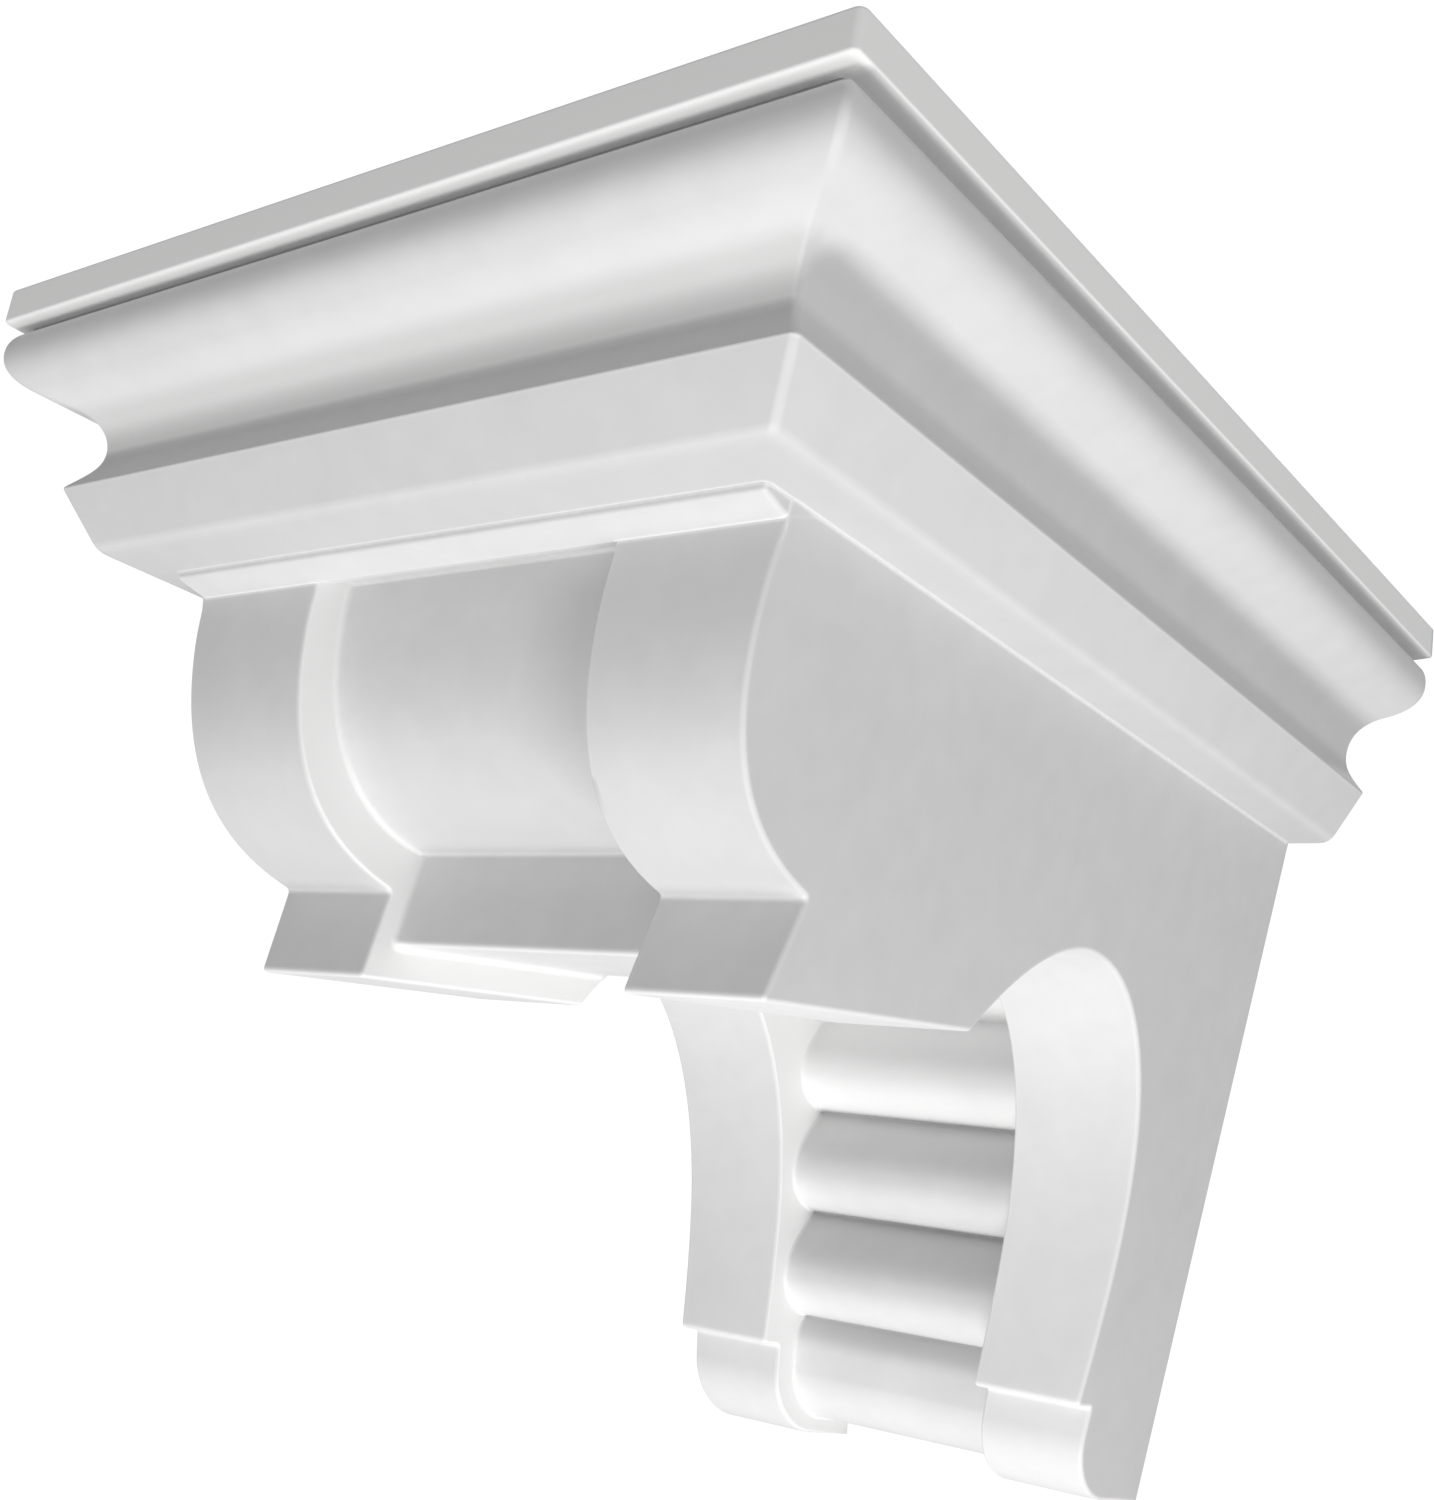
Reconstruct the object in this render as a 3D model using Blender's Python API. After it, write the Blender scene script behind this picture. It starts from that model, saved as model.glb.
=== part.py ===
# Dentil block: a moulded corbel that carries a cornice, cast in one piece.
# It is built in against a wall. The wall face is the plane y = 0, the front looks along -Y,
# and the origin is the middle of the wall face. Units are metres, +Z up.
#
# Sections are drawn as (setback, drop) points: setback is measured back from the front edge
# of the cap, and drop is measured down from the top of the cap. A name that ends in PULL holds
# the two handles of the curve that arrives at the point above it.

import bmesh
import bpy
import math

# Overall size
CAP_WIDTH = 0.200
DEPTH = 0.236
HEIGHT = 0.195

# Cap moulding, from the top down: fascia, quirk, bead, cove and sloping band
FASCIA_DROP = 0.0070
QUIRK_TOP = (0.0040, 0.0073)
QUIRK_FOOT = (0.0040, 0.0082)
BEAD = (0.0010, 0.0131)
BEAD_PULL = ((0.0020, 0.0088), (0.0010, 0.0108))
WAIST = (0.0092, 0.0206)
WAIST_PULL = ((0.0010, 0.0172), (0.0040, 0.0194))
COVE = (0.0176, 0.0290)
COVE_PULL = ((0.0140, 0.0216), (0.0173, 0.0242))
BAND_TOP = (0.0132, 0.0380)
BAND_PULL = ((0.0178, 0.0326), (0.0160, 0.0344))
BAND_FOOT = (0.0200, 0.0496)

# Body: a tapered block with a raised rib at each front edge
BODY_HALF_TOP = 0.0706
SIDE_TAPER = 0.150
CHANNEL_HALF_TOP = 0.0366
CHANNEL_TAPER = 0.0745
LIP = (0.0320, 0.0510)
RIB_TOP = (0.0386, 0.0526)
BELLY_FRONT = (0.0380, 0.0620)
BELLY_FRONT_PULL = ((0.0384, 0.0556), (0.0380, 0.0584))
BELLY_CREASE = (0.0678, 0.1032)
BELLY_CREASE_PULL = ((0.0380, 0.0860), (0.0475, 0.0985))
BLOCK_FOOT = (0.0636, 0.1204)
UNDERSIDE_END = (0.1240, 0.1138)
ARCH_CROWN = (0.1610, 0.0916)
ARCH_CROWN_PULL = ((0.1312, 0.1050), (0.1456, 0.0916))
LEG_HOLLOW = (0.2005, 0.1500)
LEG_HOLLOW_PULL = ((0.1834, 0.0916), (0.2005, 0.1130))
RIB_END = (0.1990, 0.1764)
RIB_END_PULL = ((0.2005, 0.1600), (0.1998, 0.1680))
FOOT_SETBACK = 0.2050
FOOT_NOSE = (0.0155, 0.0130)

# Channel between the ribs: panel, sunk block, sunk arch, reeds and toe
PANEL_TOP = (0.0470, 0.0492)
PANEL_FRONT = (0.0464, 0.0600)
PANEL_FRONT_PULL = ((0.0464, 0.0530), (0.0462, 0.0560))
PANEL_CREASE = (0.0750, 0.0940)
PANEL_CREASE_PULL = ((0.0468, 0.0800), (0.0560, 0.0925))
SUNK_BLOCK_FOOT = (0.0705, 0.1130)
SUNK_UNDERSIDE_END = (0.1290, 0.1064)
SUNK_CROWN = (0.1660, 0.0780)
SUNK_CROWN_PULL = ((0.1362, 0.0978), (0.1490, 0.0780))
REED_VALLEY = 0.2155
REED_TOP = 0.0982
REED_TOP_PULL = ((0.1870, 0.0780), (0.2070, 0.0850))
REED_PITCH = 0.0236
REED_COUNT = 3
REED_DEPTH = 0.0106
REED_CREST = 0.66
TOE_TOP = (0.2114, 0.1764)
TOE_TOP_PULL = ((0.2136, 0.1708), (0.2114, 0.1732))
TOE_NOSE = (0.0130, 0.0110)
TOE_FOOT = 0.1914

# How far the channel cutter stands clear of the block
CLEAR = 0.020

# Straight pieces that each kind of curve is drawn with
FINE_STEPS = 4
CURVE_STEPS = 10

WHITE = (0.80, 0.80, 0.79, 1.0)
ROUGHNESS = 0.55


def clear_scene():
    for old in list(bpy.data.objects):
        bpy.data.objects.remove(old, do_unlink=True)


def cast_white():
    material = bpy.data.materials.new("cast_white")
    material.use_nodes = True
    shader = material.node_tree.nodes["Principled BSDF"]
    shader.inputs["Base Color"].default_value = WHITE
    shader.inputs["Roughness"].default_value = ROUGHNESS
    shader.inputs["Metallic"].default_value = 0.0
    return material


def world(x, point):
    """The place of a section point at this distance across the block."""
    setback, drop = point
    return (x, setback - DEPTH, HEIGHT / 2 - drop)


def body_half_width(drop):
    return BODY_HALF_TOP - SIDE_TAPER * (drop - BAND_FOOT[1])


def channel_half_width(drop):
    return CHANNEL_HALF_TOP - CHANNEL_TAPER * (drop - BAND_FOOT[1])


def bezier(start, pull, end, steps=CURVE_STEPS):
    """Points along a cubic curve with these two handles, without its first point."""
    leave, arrive = pull
    points = []
    for step in range(1, steps + 1):
        t = step / steps
        weights = ((1 - t) ** 3, 3 * t * (1 - t) ** 2, 3 * t * t * (1 - t), t ** 3)
        corners = (start, leave, arrive, end)
        points.append(tuple(sum(w * p[axis] for w, p in zip(weights, corners)) for axis in (0, 1)))
    return points


def nose(front, foot, size):
    """A quarter round from an upright face at this setback down to an underside at this drop."""
    across, up = size
    points = []
    for step in range(CURVE_STEPS + 1):
        angle = math.pi / 2 * step / CURVE_STEPS
        points.append((front + across * (1 - math.cos(angle)), foot - up * (1 - math.sin(angle))))
    return points


def add_solid(name, vertices, faces):
    """A closed mesh object with its faces turned outward."""
    mesh = bpy.data.meshes.new(name)
    mesh.from_pydata(vertices, [], faces)
    shape = bmesh.new()
    shape.from_mesh(mesh)
    bmesh.ops.recalc_face_normals(shape, faces=shape.faces)
    shape.to_mesh(mesh)
    shape.free()
    solid = bpy.data.objects.new(name, mesh)
    bpy.context.scene.collection.objects.link(solid)
    return solid


def extruded(name, outline, half_width):
    """A section carried across the block, from one side to the other, with tapered sides."""
    count = len(outline)
    vertices = []
    for side in (-1, 1):
        vertices += [world(side * half_width(point[1]), point) for point in outline]
    faces = [tuple(range(count)), tuple(range(2 * count - 1, count - 1, -1))]
    for first in range(count):
        second = (first + 1) % count
        faces.append((first, second, count + second, count + first))
    return add_solid(name, vertices, faces)


def cap_section():
    """The moulding from the top edge down to the foot of the band."""
    points = [(0.0, 0.0), (0.0, FASCIA_DROP), QUIRK_TOP, QUIRK_FOOT]
    points += bezier(QUIRK_FOOT, BEAD_PULL, BEAD, FINE_STEPS)
    points += bezier(BEAD, WAIST_PULL, WAIST, FINE_STEPS)
    points += bezier(WAIST, COVE_PULL, COVE, FINE_STEPS)
    points += bezier(COVE, BAND_PULL, BAND_TOP, FINE_STEPS)
    points.append(BAND_FOOT)
    return points


def cap():
    """The moulding goes round the front and both sides with mitred corners; its back is flat."""
    section = cap_section()
    vertices = []
    for setback, drop in section:
        reach = CAP_WIDTH / 2 - setback
        vertices.append(world(-reach, (DEPTH, drop)))
        vertices.append(world(-reach, (setback, drop)))
        vertices.append(world(reach, (setback, drop)))
        vertices.append(world(reach, (DEPTH, drop)))
    last = 4 * (len(section) - 1)
    faces = [(0, 1, 2, 3), (last + 3, last + 2, last + 1, last)]
    for level in range(len(section) - 1):
        for corner in range(4):
            upper = 4 * level + corner
            beside = 4 * level + (corner + 1) % 4
            faces.append((upper, beside, beside + 4, upper + 4))
    return add_solid("dentil_block", vertices, faces)


def rib_section():
    """The side of the block: lip, belly, block, underside, arch, leg and foot."""
    inside_cap = BAND_FOOT[1] / 2
    points = [(DEPTH, inside_cap), (LIP[0], inside_cap), LIP, RIB_TOP]
    points += bezier(RIB_TOP, BELLY_FRONT_PULL, BELLY_FRONT, FINE_STEPS)
    points += bezier(BELLY_FRONT, BELLY_CREASE_PULL, BELLY_CREASE)
    points += [BLOCK_FOOT, UNDERSIDE_END]
    points += bezier(UNDERSIDE_END, ARCH_CROWN_PULL, ARCH_CROWN)
    points += bezier(ARCH_CROWN, LEG_HOLLOW_PULL, LEG_HOLLOW)
    points += bezier(LEG_HOLLOW, RIB_END_PULL, RIB_END, FINE_STEPS)
    points.append((FOOT_SETBACK, RIB_END[1]))
    points += nose(FOOT_SETBACK, HEIGHT, FOOT_NOSE)
    points.append((DEPTH, HEIGHT))
    return points


def reeds():
    """Bands one above the other: each swells forward as it falls, then turns back to a crease."""
    points = []
    for band in range(REED_COUNT):
        top = REED_TOP + band * REED_PITCH
        for step in range(1, CURVE_STEPS + 1):
            angle = math.pi * step / CURVE_STEPS
            share = REED_CREST * 2 * angle / math.pi
            if angle > math.pi / 2:
                share = REED_CREST - (1 - REED_CREST) * math.cos(angle)
            points.append((REED_VALLEY - REED_DEPTH * math.sin(angle), top + share * REED_PITCH))
    return points


def channel_section():
    """What is cut away between the ribs: all in front of the panel, the reeds and the toe."""
    points = [(-CLEAR, RIB_TOP[1]), RIB_TOP, PANEL_TOP]
    points += bezier(PANEL_TOP, PANEL_FRONT_PULL, PANEL_FRONT, FINE_STEPS)
    points += bezier(PANEL_FRONT, PANEL_CREASE_PULL, PANEL_CREASE)
    points += [SUNK_BLOCK_FOOT, SUNK_UNDERSIDE_END]
    points += bezier(SUNK_UNDERSIDE_END, SUNK_CROWN_PULL, SUNK_CROWN)
    points += bezier(SUNK_CROWN, REED_TOP_PULL, (REED_VALLEY, REED_TOP))
    points += reeds()
    points += bezier(points[-1], TOE_TOP_PULL, TOE_TOP, FINE_STEPS)
    points += nose(TOE_TOP[0], TOE_FOOT, TOE_NOSE)
    points += [(DEPTH + CLEAR, TOE_FOOT), (DEPTH + CLEAR, HEIGHT + CLEAR), (-CLEAR, HEIGHT + CLEAR)]
    return points


def join(target, tool, operation):
    """Unites or cuts with a helper, which stays in the file as a wire frame."""
    tool.hide_render = True
    tool.display_type = "WIRE"
    boolean = target.modifiers.new(tool.name, "BOOLEAN")
    boolean.operation = operation
    boolean.solver = "EXACT"
    boolean.object = tool


def dentil_block():
    block = cap()
    block.data.materials.append(cast_white())
    join(block, extruded("body_with_ribs", rib_section(), body_half_width), "UNION")
    join(block, extruded("channel", channel_section(), channel_half_width), "DIFFERENCE")


clear_scene()
dentil_block()
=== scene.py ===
import math

import bmesh
import bpy
import numpy as np
from mathutils import Matrix, Vector


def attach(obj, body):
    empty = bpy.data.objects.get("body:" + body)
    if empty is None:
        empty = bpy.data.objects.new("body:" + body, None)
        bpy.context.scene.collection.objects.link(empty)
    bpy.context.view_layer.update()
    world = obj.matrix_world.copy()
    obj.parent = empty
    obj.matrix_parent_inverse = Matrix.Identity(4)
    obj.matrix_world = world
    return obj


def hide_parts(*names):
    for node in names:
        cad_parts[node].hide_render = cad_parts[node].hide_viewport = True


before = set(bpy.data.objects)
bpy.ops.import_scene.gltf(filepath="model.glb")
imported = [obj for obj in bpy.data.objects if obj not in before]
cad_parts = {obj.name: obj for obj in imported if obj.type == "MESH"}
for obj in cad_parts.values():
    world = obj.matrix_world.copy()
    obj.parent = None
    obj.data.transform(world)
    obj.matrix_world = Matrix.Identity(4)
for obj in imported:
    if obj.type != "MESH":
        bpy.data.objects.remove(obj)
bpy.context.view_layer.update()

# The cap
# The moulding round the top of the block: fascia, quirk, bead, cove and a sloping band, mitred
# at the two front corners. It is rigid moulded foam, cast in one with all that is below it, so
# its edges are a little rounded. Its back is flat against the wall.
CAP_WIDTH = 0.200
DEPTH = 0.236
HEIGHT = 0.195
FASCIA_TOP = (0.0, 0.0)
FASCIA_FOOT = (0.0, 0.0070)
QUIRK_TOP = (0.0040, 0.0073)
QUIRK_FOOT = (0.0040, 0.0082)
BEAD = (0.0010, 0.0131)
BEAD_PULL = ((0.0020, 0.0088), (0.0010, 0.0108))
WAIST = (0.0092, 0.0206)
WAIST_PULL = ((0.0010, 0.0172), (0.0040, 0.0194))
COVE = (0.0176, 0.0290)
COVE_PULL = ((0.0140, 0.0216), (0.0173, 0.0242))
BAND_TOP = (0.0132, 0.0380)
BAND_PULL = ((0.0178, 0.0326), (0.0160, 0.0344))
BAND_FOOT = (0.0200, 0.0496)
TOP_INSIDE = 0.0060
BAND_INSIDE = 0.0280
CAP_ROUNDING = {
    FASCIA_TOP: 0.0007,
    FASCIA_FOOT: 0.0006,
    QUIRK_FOOT: 0.0003,
    BAND_TOP: 0.0026,
    BAND_FOOT: 0.0040,
}
MITRE_ROUND = 0.0014
LONGEST_EASE = 0.48


def place(x, setback, drop):
    """Where a section point lies: setback from the cap's front edge and drop from its top."""
    return (x, setback - DEPTH, HEIGHT / 2 - drop)


def curve(start, pull, end, steps):
    """Points along a cubic curve with these two handles, without its first one."""
    leave, arrive = pull
    points = []
    for step in range(1, steps + 1):
        t = step / steps
        u = 1 - t
        weights = (u ** 3, 3 * t * u * u, 3 * t * t * u, t ** 3)
        corners = (start, leave, arrive, end)
        points.append(tuple(sum(w * p[axis] for w, p in zip(weights, corners)) for axis in (0, 1)))
    return points


def eased(outline, rounding, steps=4):
    """The outline with a small arc in place of each corner that has a radius."""
    rounded = []
    for index, point in enumerate(outline):
        radius = rounding.get(point)
        if not radius:
            rounded.append(point)
            continue
        here = Vector(point)
        back = Vector(outline[index - 1]) - here
        ahead = Vector(outline[(index + 1) % len(outline)]) - here
        half = back.angle(ahead) / 2
        reach = min(radius / math.tan(half), LONGEST_EASE * back.length, LONGEST_EASE * ahead.length)
        first = here + back.normalized() * reach
        last = here + ahead.normalized() * reach
        for step in range(steps + 1):
            t = step / steps
            rounded.append(tuple(first * (1 - t) ** 2 + here * 2 * t * (1 - t) + last * t * t))
    return rounded


def quarter_round(radius, steps=4):
    """Pairs along a rounded edge: how far in from the first face, then from the second."""
    angles = [math.pi / 2 * step / steps for step in range(steps + 1)]
    return [(radius * (1 - math.cos(angle)), radius * (1 - math.sin(angle))) for angle in angles]


def shell_over(name, rings):
    """A closed solid over rings that all have the same number of points."""
    count = len(rings[0])
    vertices = [point for ring in rings for point in ring]
    faces = [tuple(range(count)), tuple(range(len(vertices) - 1, len(vertices) - count - 1, -1))]
    for start in range(0, len(vertices) - count, count):
        for first in range(count):
            second = (first + 1) % count
            faces.append((start + first, start + second, start + count + second, start + count + first))
    mesh = bpy.data.meshes.new(name)
    mesh.from_pydata(vertices, [], faces)
    shape = bmesh.new()
    shape.from_mesh(mesh)
    bmesh.ops.recalc_face_normals(shape, faces=shape.faces)
    shape.to_mesh(mesh)
    shape.free()
    solid = bpy.data.objects.new(name, mesh)
    bpy.context.scene.collection.objects.link(solid)
    return solid


cap_section = [(TOP_INSIDE, 0.0), FASCIA_TOP, FASCIA_FOOT, QUIRK_TOP, QUIRK_FOOT]
cap_section += curve(QUIRK_FOOT, BEAD_PULL, BEAD, steps=10)
cap_section += curve(BEAD, WAIST_PULL, WAIST, steps=14)
cap_section += curve(WAIST, COVE_PULL, COVE, steps=14)
cap_section += curve(COVE, BAND_PULL, BAND_TOP, steps=14)
cap_section += [BAND_FOOT, (BAND_INSIDE, BAND_FOOT[1])]

cap_rings = []
for setback, drop in eased(cap_section, CAP_ROUNDING):
    reach = CAP_WIDTH / 2 - setback
    mitre = [(reach - inward, setback + sunk) for inward, sunk in quarter_round(MITRE_ROUND)]
    level = [(-reach, DEPTH)] + [(-x, back) for x, back in mitre] + mitre[::-1] + [(reach, DEPTH)]
    cap_rings.append([place(x, back, drop) for x, back in level])
casting = shell_over("moulded_block", cap_rings)

# The ribs
# The two sides of the bracket stand out as ribs, with a rounded belly, a small block, an arch,
# a hollowed leg and a foot. They are cast solid with the block, they draw in towards the foot
# as the body does, and their edges are eased below the lip.
BODY_HALF_TOP = 0.0706
SIDE_TAPER = 0.150
CHANNEL_HALF_TOP = 0.0366
CHANNEL_TAPER = 0.0745
RIB_TOP = (0.0386, 0.0526)
BELLY_FRONT = (0.0380, 0.0620)
BELLY_FRONT_PULL = ((0.0384, 0.0556), (0.0380, 0.0584))
BELLY_CREASE = (0.0678, 0.1032)
BELLY_CREASE_PULL = ((0.0380, 0.0860), (0.0475, 0.0985))
BLOCK_FOOT = (0.0636, 0.1204)
UNDERSIDE_END = (0.1240, 0.1138)
ARCH_CROWN = (0.1610, 0.0916)
ARCH_CROWN_PULL = ((0.1312, 0.1050), (0.1456, 0.0916))
LEG_HOLLOW = (0.2005, 0.1500)
LEG_HOLLOW_PULL = ((0.1834, 0.0916), (0.2005, 0.1130))
RIB_END = (0.1990, 0.1764)
RIB_END_PULL = ((0.2005, 0.1600), (0.1998, 0.1680))
FOOT_TOP = (0.2050, 0.1764)
FOOT_NOSE = (0.0155, 0.0130)
RIB_ROUNDING = {
    BELLY_CREASE: 0.0010,
    BLOCK_FOOT: 0.0010,
    UNDERSIDE_END: 0.0030,
    RIB_END: 0.0012,
    FOOT_TOP: 0.0010,
}
ARRIS = 0.0008
ARRIS_FADE = 0.0025
AT_WALL = 0.0010

# The ribs and the core start inside the cap, and there they stand clear of the wall face.
INSIDE_CAP = BAND_FOOT[1] - 0.0030
CLEAR_OF_WALL = 0.0040
BODY_START = [(DEPTH, BAND_FOOT[1]), (DEPTH - CLEAR_OF_WALL, INSIDE_CAP)]

# How a section's outline is moved out or in: a limit for sharp corners, the number of tries, and
# the share of the distance that has to stay clear.
MITRE_LIMIT = 0.3
MOVE_TRIES = 26
GAP_KEPT = 0.97


def body_half_width(drop):
    return BODY_HALF_TOP - SIDE_TAPER * (drop - BAND_FOOT[1])


def channel_half_width(drop):
    return CHANNEL_HALF_TOP - CHANNEL_TAPER * (drop - BAND_FOOT[1])


def nose(front, foot, size):
    """A quarter round from an upright face at this setback down to an underside at this drop."""
    wide, tall = size
    return [(front + wide * inward, foot - tall * above) for inward, above in quarter_round(1.0, steps=16)]


def shifted(outline, distance, share=None):
    """The closed outline moved out by a distance, or in if it is below zero.

    A point stops where it meets the points that come from the other side of a crease."""
    here = np.array(outline)
    ahead = np.roll(here, -1, axis=0) - here
    ahead /= np.linalg.norm(ahead, axis=1)[:, None]
    behind = np.roll(ahead, 1, axis=0)
    area = np.sum(here[:, 0] * np.roll(here[:, 1], -1) - here[:, 1] * np.roll(here[:, 0], -1))
    out = np.stack([ahead[:, 1] + behind[:, 1], -ahead[:, 0] - behind[:, 0]], axis=1) * np.sign(area)
    out /= np.maximum(np.sum(out * out, axis=1) / 2, MITRE_LIMIT)[:, None]
    starts, ends = here[None], np.roll(here, -1, axis=0)[None]
    run = ends - starts
    moved = here.copy()
    settled = np.zeros(len(here), bool)
    for part in np.linspace(1.0, 0.0, MOVE_TRIES):
        step = here + out * distance * part
        along = np.sum((step[:, None] - starts) * run, axis=2) / np.sum(run * run, axis=2)
        nearest = starts + run * np.clip(along, 0, 1)[:, :, None]
        gap = np.linalg.norm(step[:, None] - nearest, axis=2).min(axis=1)
        clear = (gap >= GAP_KEPT * abs(distance) * part) & ~settled
        moved[clear] = step[clear]
        settled |= clear
    if share is not None:
        moved = here + (moved - here) * np.array([share(*point) for point in outline])[:, None]
    return [(min(setback, DEPTH), min(drop, HEIGHT)) for setback, drop in moved]


def arris_share(setback, drop):
    """The edges are eased below the lip, but not at the wall."""
    if setback > DEPTH - AT_WALL:
        return 0.0
    return min(max((drop - RIB_TOP[1]) / ARRIS_FADE, 0.0), 1.0)


def ring_at(side, half_width, inward, outline):
    """The outline set up on the left, -1, or on the right, 1, this far in from a face."""
    return [place(side * (half_width(drop) - inward), setback, drop) for setback, drop in outline]


rib_section = BODY_START + [(RIB_TOP[0], INSIDE_CAP), RIB_TOP]
rib_section += curve(RIB_TOP, BELLY_FRONT_PULL, BELLY_FRONT, steps=4)
rib_section += curve(BELLY_FRONT, BELLY_CREASE_PULL, BELLY_CREASE, steps=26)
rib_section += [BLOCK_FOOT, UNDERSIDE_END]
rib_section += curve(UNDERSIDE_END, ARCH_CROWN_PULL, ARCH_CROWN, steps=22)
rib_section += curve(ARCH_CROWN, LEG_HOLLOW_PULL, LEG_HOLLOW, steps=32)
rib_section += curve(LEG_HOLLOW, RIB_END_PULL, RIB_END, steps=8)
rib_section += [FOOT_TOP] + nose(FOOT_TOP[0], HEIGHT, FOOT_NOSE) + [(DEPTH, HEIGHT)]
rib_outline = eased(rib_section, RIB_ROUNDING)

rib_edge = [(inward, shifted(rib_outline, -sunk, arris_share)) for inward, sunk in quarter_round(ARRIS)]
ribs = []
for side in (-1, 1):
    rings = [ring_at(side, body_half_width, inward, outline) for inward, outline in rib_edge]
    rings += [ring_at(side, channel_half_width, -inward, outline) for inward, outline in rib_edge[::-1]]
    ribs.append(shell_over("rib", rings))

# The core
# What fills the channel between the ribs: panel, sunk block, sunk arch, three reeds and a toe.
# It is cast with the ribs, of the same foam, and swells into a small fillet at their inner walls.
PANEL_TOP = (0.0470, 0.0492)
PANEL_FRONT = (0.0464, 0.0600)
PANEL_FRONT_PULL = ((0.0464, 0.0530), (0.0462, 0.0560))
PANEL_CREASE = (0.0750, 0.0940)
PANEL_CREASE_PULL = ((0.0468, 0.0800), (0.0560, 0.0925))
SUNK_BLOCK_FOOT = (0.0705, 0.1130)
SUNK_UNDERSIDE_END = (0.1290, 0.1064)
SUNK_CROWN = (0.1660, 0.0780)
SUNK_CROWN_PULL = ((0.1362, 0.0978), (0.1490, 0.0780))
REED_VALLEY = 0.2155
REED_TOP = 0.0982
REED_TOP_PULL = ((0.1870, 0.0780), (0.2070, 0.0850))
REED_PITCH = 0.0236
REED_COUNT = 3
REED_DEPTH = 0.0106
REED_CREST = 0.66
REED_STEPS = 24
TOE_TOP = (0.2114, 0.1764)
TOE_TOP_PULL = ((0.2136, 0.1708), (0.2114, 0.1732))
TOE_NOSE = (0.0130, 0.0110)
TOE_FOOT = 0.1914
CREASE_ROUND = 0.0010
CORE_ROUNDING = {
    PANEL_CREASE: 0.0010,
    SUNK_BLOCK_FOOT: 0.0010,
    SUNK_UNDERSIDE_END: 0.0020,
}
FILLET = 0.0013
REED_FILLET_SHARE = 0.5
BURIED_IN_RIB = 0.0040
DRAWN_IN_THERE = 0.0003


def fillet_share(setback, drop):
    """All of it round the panel and part of it on the reeds."""
    return 1.0 if setback < SUNK_CROWN[0] else REED_FILLET_SHARE


core_section = BODY_START + [(PANEL_TOP[0], INSIDE_CAP), PANEL_TOP]
core_section += curve(PANEL_TOP, PANEL_FRONT_PULL, PANEL_FRONT, steps=6)
core_section += curve(PANEL_FRONT, PANEL_CREASE_PULL, PANEL_CREASE, steps=24)
core_section += [SUNK_BLOCK_FOOT, SUNK_UNDERSIDE_END]
core_section += curve(SUNK_UNDERSIDE_END, SUNK_CROWN_PULL, SUNK_CROWN, steps=20)
core_section += curve(SUNK_CROWN, REED_TOP_PULL, (REED_VALLEY, REED_TOP), steps=20)
creases = [core_section[-1]]
for reed in range(REED_COUNT):
    top = REED_TOP + reed * REED_PITCH
    for step in range(1, REED_STEPS + 1):
        angle = math.pi * step / REED_STEPS
        share = REED_CREST * 2 * angle / math.pi
        if angle > math.pi / 2:
            share = REED_CREST - (1 - REED_CREST) * math.cos(angle)
        core_section.append((REED_VALLEY - REED_DEPTH * math.sin(angle), top + share * REED_PITCH))
    creases.append(core_section[-1])
core_section += curve(creases[-1], TOE_TOP_PULL, TOE_TOP, steps=6)
core_section += nose(TOE_TOP[0], TOE_FOOT, TOE_NOSE)[1:]
core_section += [(DEPTH, TOE_FOOT)]
core_outline = eased(core_section, {**CORE_ROUNDING, **dict.fromkeys(creases, CREASE_ROUND)})

core_edge = []
for inward, swell in quarter_round(FILLET, steps=6):
    core_edge.append((inward, shifted(core_outline, swell, fillet_share)))
core_edge.insert(0, (-BURIED_IN_RIB, shifted(core_edge[0][1], -DRAWN_IN_THERE)))
rings = [ring_at(-1, channel_half_width, inward, outline) for inward, outline in core_edge]
rings += [ring_at(1, channel_half_width, inward, outline) for inward, outline in core_edge[::-1]]
core = shell_over("core", rings)

# The lip
# A thin board's edge under the cap, across both ribs and the panel. It is cast with them, and
# it stands a hair inside the ribs' outer faces so that the surfaces don't lie in one plane.
LIP = (0.0320, 0.0510)
LIP_ROUNDING = {LIP: 0.0009, RIB_TOP: 0.0009, PANEL_TOP: 0.0006}
LIP_LEANS_BACK = 0.0040
JUST_INSIDE = 0.0001

lip_section = [(LIP[0], INSIDE_CAP), LIP, RIB_TOP, PANEL_TOP, (PANEL_TOP[0] + LIP_LEANS_BACK, INSIDE_CAP)]
lip_outline = eased(lip_section, LIP_ROUNDING)
lip_edge = [(JUST_INSIDE + inward, shifted(lip_outline, -sunk)) for inward, sunk in quarter_round(ARRIS)]
rings = [ring_at(-1, body_half_width, inward, outline) for inward, outline in lip_edge]
rings += [ring_at(1, body_half_width, inward, outline) for inward, outline in lip_edge[::-1]]
lip = shell_over("lip", rings)

# The whole casting
# All of these forms leave the mould as one block, so they are one mesh and one piece here. The
# wall carries it, and nothing in it moves.
SHARP_CORNER = math.radians(40)
FLAT_FACE_WEIGHT = 80

whole = bmesh.new()
for shell in [casting, lip, core] + ribs:
    whole.from_mesh(shell.data)
joined = casting.data
whole.to_mesh(joined)
whole.free()
for shell in [lip, core] + ribs:
    bpy.data.objects.remove(shell, do_unlink=True)

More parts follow.
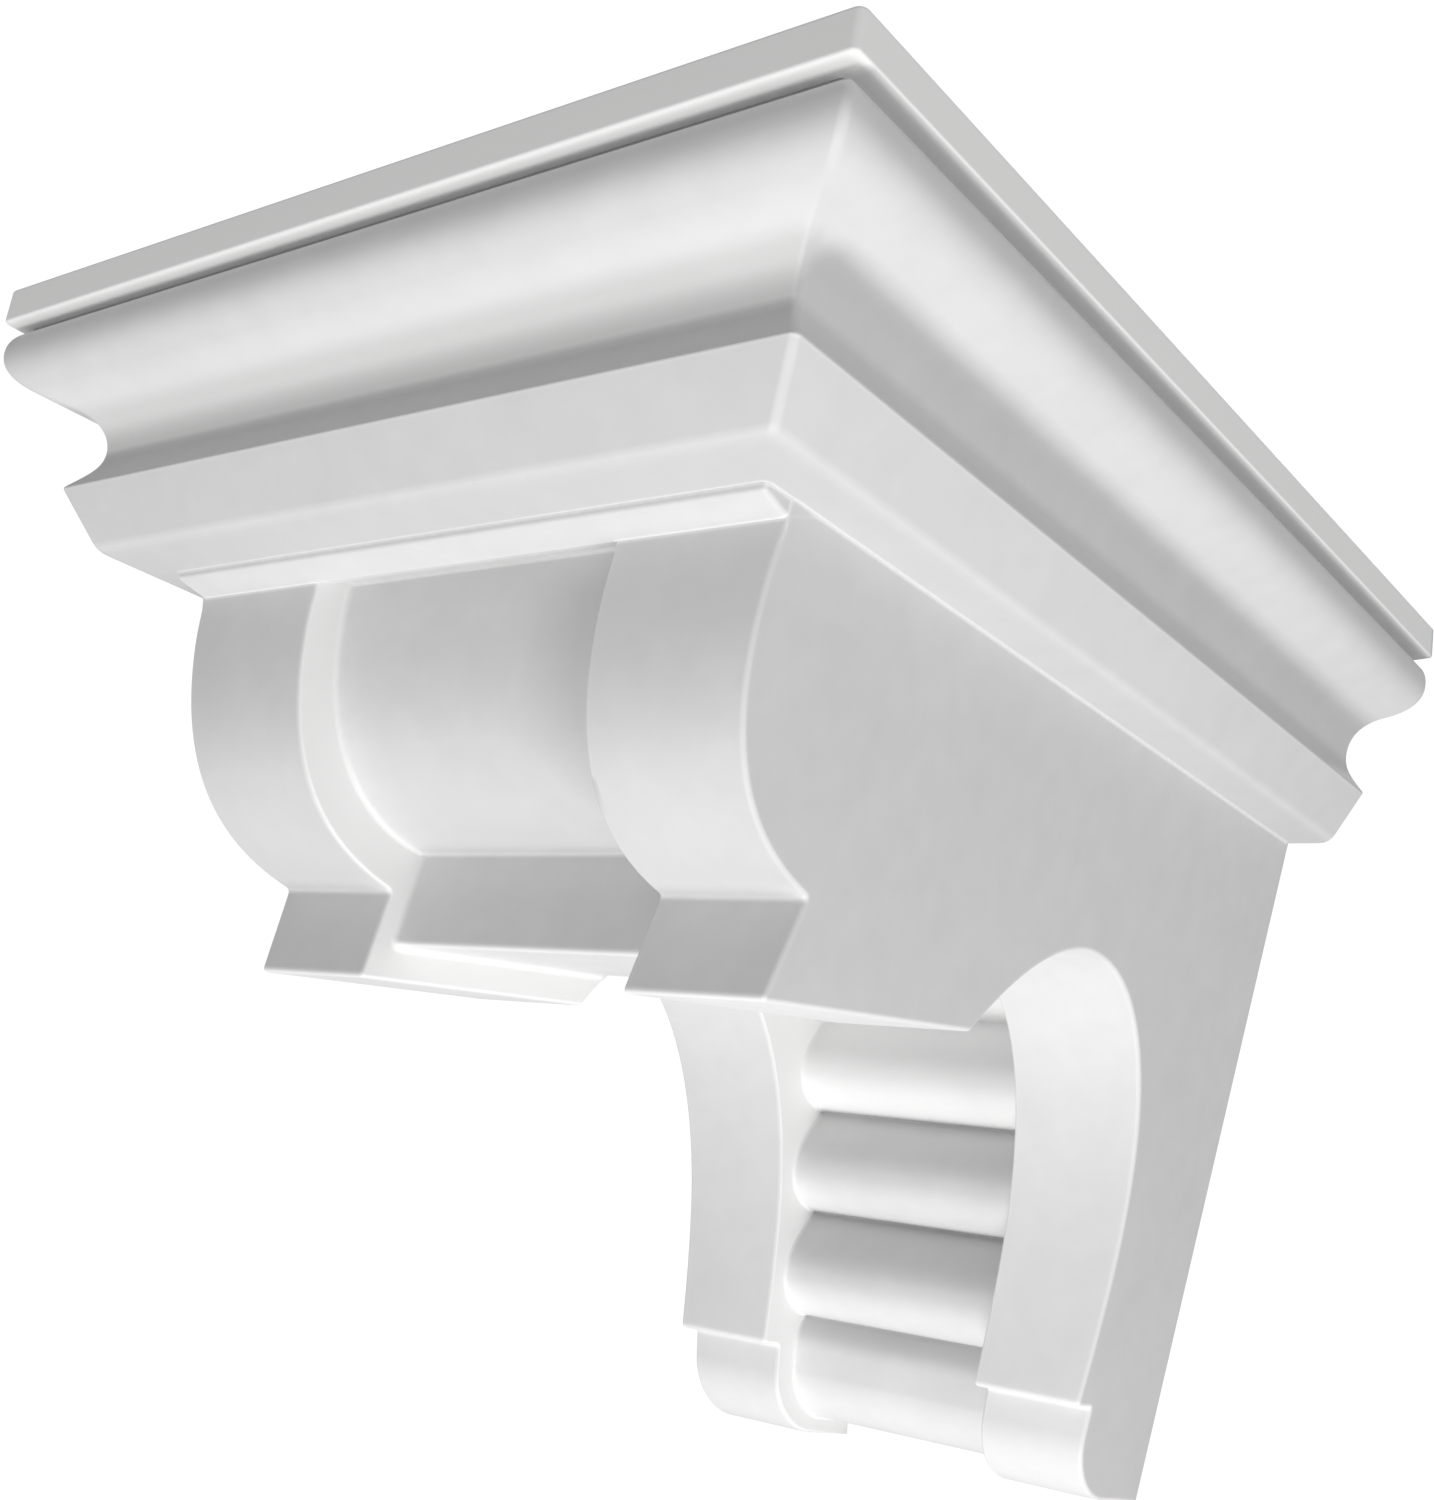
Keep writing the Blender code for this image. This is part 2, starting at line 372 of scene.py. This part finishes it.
joined.shade_smooth()
joined.set_sharp_from_angle(angle=SHARP_CORNER)
weighted = casting.modifiers.new("flat_faces_stay_flat", "WEIGHTED_NORMAL")
weighted.weight = FLAT_FACE_WEIGHT
weighted.keep_sharp = True
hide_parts("dentil_block")
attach(casting, "root")

# The primer
# One coat of white primer, sprayed on the casting and left as it dried: faintly cloudy, with a
# fine orange peel. Light and shade are painted into its colour as well: whiter for painted
# light, greyer for painted shade.
PRIMER_TONES = [(0.30, 0.725), (0.70, 0.775)]
# The white of the painted light and the grey of the painted shade.
PAINTED_LIGHT_WHITE = (0.975, 0.975, 0.97, 1.0)
PAINTED_SHADE_GREY = (0.42, 0.42, 0.42, 1.0)
# Strength of the painted shade at the cove's foot, front and side, and on the side soffit.
COVE_AT_FRONT = 0.50
COVE_AT_SIDE = 0.30
SOFFIT_AT_SIDE = 0.48
PEEL_IN_TONE = 0.5
PEEL_IN_SKIN = 0.7
ROUGHNESS = 0.46
ROUGHNESS_SPREAD = 0.12
SHEEN = 0.4


class Value:
    """A shader socket that can be used in sums, so that a mask reads as arithmetic."""

    def __init__(self, recipe, socket):
        self.recipe = recipe
        self.socket = socket

    def math(self, operation, left, right):
        return self.recipe.node("ShaderNodeMath", {"operation": operation}, {0: left, 1: right})

    def __add__(self, other):
        return self.math("ADD", self, other)

    __radd__ = __add__

    def __mul__(self, other):
        return self.math("MULTIPLY", self, other)

    __rmul__ = __mul__

    def __sub__(self, other):
        return self.math("SUBTRACT", self, other)

    def __rsub__(self, other):
        return self.math("SUBTRACT", other, self)

    def __abs__(self):
        return self.math("ABSOLUTE", self, 0.0)


class Recipe:
    """The nodes of a finish or of the studio's surroundings, added one at a time."""

    def __init__(self, owner, last_node):
        owner.use_nodes = True
        self.owner = owner
        self.tree = owner.node_tree
        self.last_node = self.tree.nodes[last_node]

    def fill(self, socket, value):
        if isinstance(value, Value):
            self.tree.links.new(value.socket, socket)
        else:
            socket.default_value = value

    def feed(self, name, value):
        self.fill(self.last_node.inputs[name], value)

    def node(self, kind, settings=None, sockets=None, output=0):
        """Adds a node, with its settings first, and gives back one of its outputs."""
        made = self.tree.nodes.new(kind)
        for name, value in (settings or {}).items():
            if name == "stops":
                for stop, (position, level) in zip(made.color_ramp.elements, value):
                    stop.position = position
                    stop.color = (level, level, level, 1.0)
            else:
                setattr(made, name, value)
        for name, value in (sockets or {}).items():
            self.fill(made.inputs[name], value)
        return Value(self, made.outputs[output])

    def part(self, value, axis):
        """One axis of a vector."""
        return self.node("ShaderNodeSeparateXYZ", sockets={0: value}, output=axis)

    def blend(self, share, first, second):
        """The second colour over the first, by this share."""
        return self.node("ShaderNodeMix", {"data_type": "RGBA"}, {0: share, 6: first, 7: second}, output=2)

    def most(self, *shares):
        """The largest of these shares."""
        found = shares[0]
        for share in shares[1:]:
            found = found.math("MAXIMUM", found, share)
        return found


primer = Recipe(bpy.data.materials.new("cast_white"), "Principled BSDF")
where = primer.node("ShaderNodeTexCoord", output="Object")


def mottle(scale, detail, roughness):
    return primer.node("ShaderNodeTexNoise", sockets={
        "Vector": where, "Scale": scale, "Detail": detail, "Roughness": roughness})


clouds = mottle(scale=26.0, detail=3.0, roughness=0.55)
grain = mottle(scale=420.0, detail=4.0, roughness=0.6)
orange_peel = mottle(scale=150.0, detail=2.0, roughness=0.5)
tone = clouds * (1 - PEEL_IN_TONE) + orange_peel * PEEL_IN_TONE
white = primer.node("ShaderNodeValToRGB", {"stops": PRIMER_TONES}, {"Fac": tone})


def rising(value, none, full):
    """0 up to the first level and 1 from the second; it falls where the first is the higher."""
    return primer.node("ShaderNodeMapRange", sockets={"Value": value, "From Min": none, "From Max": full})


# An arris shows where the normal of a slightly rounder block would turn away from the real one.
# There the coat is whitened: a painted highlight along the edges and creases.
flat_normal = primer.node("ShaderNodeNewGeometry", output="Normal")
turned_normal = primer.node("ShaderNodeBevel", {"samples": 6}, {"Radius": 0.0012})
likeness = primer.node(
    "ShaderNodeVectorMath", {"operation": "DOT_PRODUCT"}, {0: flat_normal, 1: turned_normal}, output="Value")
arris = rising(1.0 - likeness, none=0.004, full=0.10)

# Where a point is, in metres from the middle of the wall face, and which way it faces.
across = primer.part(where, "X")
depth = primer.part(where, "Y")
measures = {
    "across": across,
    "from_middle": abs(across),
    "depth": depth,
    "height": primer.part(where, "Z"),
    "before_mitre": CAP_WIDTH / 2 - DEPTH - across - depth,
    "facing_right": primer.part(flat_normal, "X"),
    "facing_up": primer.part(flat_normal, "Z"),
}


def patch(share=1.0, **spans):
    """A mask for painted light and shade: this share where every span holds, none at its first level and all
    at its second.
    """
    found = share
    for measure, levels in spans.items():
        for none, full in levels:
            found = found * rising(measures[measure], none, full)
    return found


in_front_of_wall = patch(depth=[(-0.0005, -0.0015)])
at_side = patch(across=[(0.0950, 0.0956)], depth=[(-0.2326, -0.2310)])
front_of_mitre = patch(before_mitre=[(0.0, 0.0010)])
between_ribs = patch(from_middle=[(0.046, 0.044)])

# Painted light: the fascia, its soffit, the channel's left wall, highlights along the edges, the
# top of the cove at the front, and the first reed, where its shade is painted out.
fascia = patch(height=[(0.0896, 0.0906)]) * in_front_of_wall
fascia_soffit = patch(height=[(0.0884, 0.0892)], facing_up=[(-0.6, -0.95)])
left_wall = patch(facing_right=[(0.55, 0.95)]) * between_ribs
edge_highlights = arris * in_front_of_wall * (1.0 - at_side * patch(height=[(0.084, 0.086)]))
front_cove = patch(share=0.90, height=[(0.0672, 0.0684), (0.0780, 0.0735)]) * front_of_mitre
first_reed = patch(share=0.55, height=[(-0.0262, -0.0245), (0.012, 0.004)], depth=[(-0.0345, -0.0335)])
first_reed = first_reed * between_ribs * in_front_of_wall
painted_light = primer.most(fascia, fascia_soffit * (1.0 - at_side), left_wall, edge_highlights, front_cove, first_reed)

# Painted shade: the foot of the cove, the tops of the reeds, the corner under the band, a dark line
# of shadow in the quirk, the soffit at the side, the right rib's shadow on the panel beside it, and
# the foot of the belly.
cove_foot = patch(facing_up=[(-0.05, 0.25)], height=[(0.0500, 0.0540), (0.0740, 0.0730)])
cove_foot = cove_foot * (front_of_mitre * (COVE_AT_FRONT - COVE_AT_SIDE) + COVE_AT_SIDE)
reed_tops = patch(share=0.55, facing_up=[(0.20, 0.90)], height=[(0.010, -0.060)])
under_band = patch(share=0.34, height=[(0.0462, 0.0470), (0.0496, 0.0486)], facing_up=[(-0.75, -0.97)])
quirk = patch(height=[(0.0884, 0.0888), (0.0906, 0.0904)], facing_up=[(-0.9, -0.7)])
quirk = quirk * patch(depth=[(-0.2340, -0.2334)]) * (1.0 - at_side) * in_front_of_wall
side_soffit = fascia_soffit * at_side * SOFFIT_AT_SIDE
by_right_rib = patch(
    share=0.42, across=[(0.010, 0.024), (0.0352, 0.0346)], height=[(0.000, 0.006), (0.0475, 0.0400)],
    depth=[(-0.1912, -0.1904), (-0.150, -0.160)])
belly_foot = patch(
    share=0.34, facing_up=[(-0.50, -0.95)], height=[(-0.008, -0.004), (0.035, 0.022)],
    depth=[(-0.150, -0.160)])
painted_shade = primer.most(cove_foot, reed_tops, under_band, quirk, side_soffit, by_right_rib, belly_foot)

# The painted light whitens the coat and the painted shade greys it.
colour = primer.blend(painted_light, white, PAINTED_LIGHT_WHITE)
primer.feed("Base Color", primer.blend(painted_shade, colour, PAINTED_SHADE_GREY))
primer.feed("Roughness", ROUGHNESS + ROUGHNESS_SPREAD * clouds)
primer.feed("Specular IOR Level", SHEEN)
skin = orange_peel * PEEL_IN_SKIN + grain * (1 - PEEL_IN_SKIN)
primer.feed("Normal", primer.node("ShaderNodeBump", sockets={
    "Strength": 0.12, "Distance": 0.0004, "Height": skin}))
joined.materials.append(primer.owner)

# The studio
# A plain white floor well below the block, and white surroundings. The soft lights are low in
# front, under the arch and at the right, and one more is behind, for the side that meets the wall.
FLOOR_DROP = 0.75
FLOOR_HALF = 3.0
PAPER_WHITE = (0.9, 0.9, 0.9, 1.0)
PAPER_ROUGHNESS = 0.9
WHITE_LIGHT = (1, 1, 1, 1)
ROUND_THE_BLOCK = 0.42
BEHIND_THE_BLOCK = 1.05
MIDDLE = (0.0, -0.12, 0.0)
LIGHTS = [
    ("under_the_front", (0.05, -0.45, -0.62), 0.16, 1.75),
    ("under_the_arch", (0.10, -0.22, -0.38), 0.12, 0.56),
    ("from_the_right", (0.72, -0.25, -0.20), 0.30, 1.05),
    ("behind_the_wall_face", (-0.35, 0.80, 0.45), 0.60, 4.0),
]

floor_shape = bmesh.new()
bmesh.ops.create_grid(floor_shape, x_segments=1, y_segments=1, size=FLOOR_HALF)
floor_mesh = bpy.data.meshes.new("floor")
floor_shape.to_mesh(floor_mesh)
floor_shape.free()
floor = bpy.data.objects.new("floor", floor_mesh)
floor.location = (0, 0, -FLOOR_DROP)
bpy.context.scene.collection.objects.link(floor)
paper = Recipe(bpy.data.materials.new("studio_floor"), "Principled BSDF")
paper.feed("Base Color", PAPER_WHITE)
paper.feed("Roughness", PAPER_ROUGHNESS)
floor_mesh.materials.append(paper.owner)

for name, location, size, power in LIGHTS:
    lamp = bpy.data.lights.new(name, "AREA")
    lamp.shape = "SQUARE"
    lamp.size = size
    lamp.energy = power
    light = bpy.data.objects.new(name, lamp)
    light.location = location
    light.rotation_euler = (Vector(MIDDLE) - Vector(location)).to_track_quat("-Z", "Y").to_euler()
    light.visible_camera = False
    bpy.context.scene.collection.objects.link(light)

world = bpy.data.worlds.new("studio")
bpy.context.scene.world = world
room = Recipe(world, "World Output")
room.tree.nodes.remove(room.tree.nodes["Background"])
around = room.node("ShaderNodeBackground", sockets={"Color": WHITE_LIGHT, "Strength": ROUND_THE_BLOCK})
beyond = room.node("ShaderNodeBackground", sockets={"Color": WHITE_LIGHT, "Strength": BEHIND_THE_BLOCK})
seen = room.node("ShaderNodeLightPath", output="Is Camera Ray")
room.feed("Surface", room.node("ShaderNodeMixShader", sockets={0: seen, 1: around, 2: beyond}))
bpy.context.scene.view_settings.view_transform = "Standard"

# The camera
# It stands to the right of the block and a little below it, at the photograph's angle, and near
# enough for the lines of the cap to draw together as they do there.
STANDS_AT = (0.230706, -0.398676, -0.059254)
LOOKS_RIGHT = (0.785868, 0.598390, 0.156015)
LOOKS_UP = (0.035464, -0.295486, 0.954689)
LOOKS_BACK = (0.617377, -0.744726, -0.253434)

lens = bpy.data.cameras.new("camera")
lens.lens = 44.781
lens.sensor_width = 36.0
lens.clip_start = 0.01
camera = bpy.data.objects.new("camera", lens)
turned = Matrix((LOOKS_RIGHT, LOOKS_UP, LOOKS_BACK)).transposed().to_4x4()
camera.matrix_world = Matrix.Translation(STANDS_AT) @ turned
bpy.context.scene.collection.objects.link(camera)
bpy.context.scene.camera = camera
